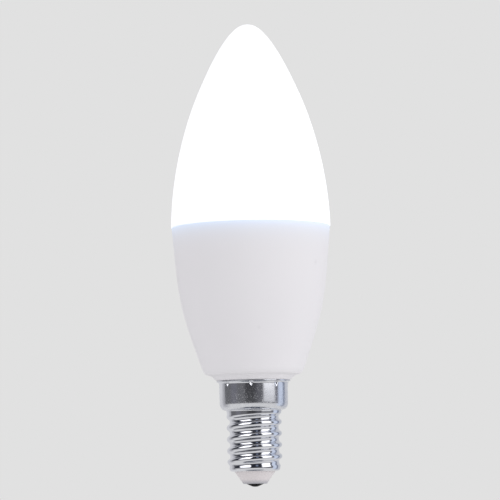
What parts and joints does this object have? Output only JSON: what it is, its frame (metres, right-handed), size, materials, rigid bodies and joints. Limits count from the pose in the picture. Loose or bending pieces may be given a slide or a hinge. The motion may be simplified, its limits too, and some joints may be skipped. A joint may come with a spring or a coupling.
{
  "type": "candle bulb",
  "caption": "Candle-shaped lamp bulb: lit opal dome on a flared white housing, with a rolled screw cap, an insulator cone and a centre contact.",
  "frame": {"origin": "tip of the centre contact, on the bulb's axis", "axes": "+Z along the bulb's axis from the contact to the diffuser's nose; -Y is the side that the picture shows"},
  "size_m": [0.0395, 0.0394, 0.115],
  "materials": {
    "opal_diffuser": "opal satin, lit from inside",
    "white_housing": "satin moulded white",
    "nickel_cap": "bright nickel plate on drawn sheet",
    "insulator_cone": "smooth moulded, pale warm grey",
    "dark_contact": "glossy, near black"
  },
  "bodies": {
    "root": {"diffuser": "opal_diffuser", "housing": "white_housing", "screw_shell": "nickel_cap", "insulator": "insulator_cone", "centre_contact": "dark_contact"}
  },
  "joints": []
}
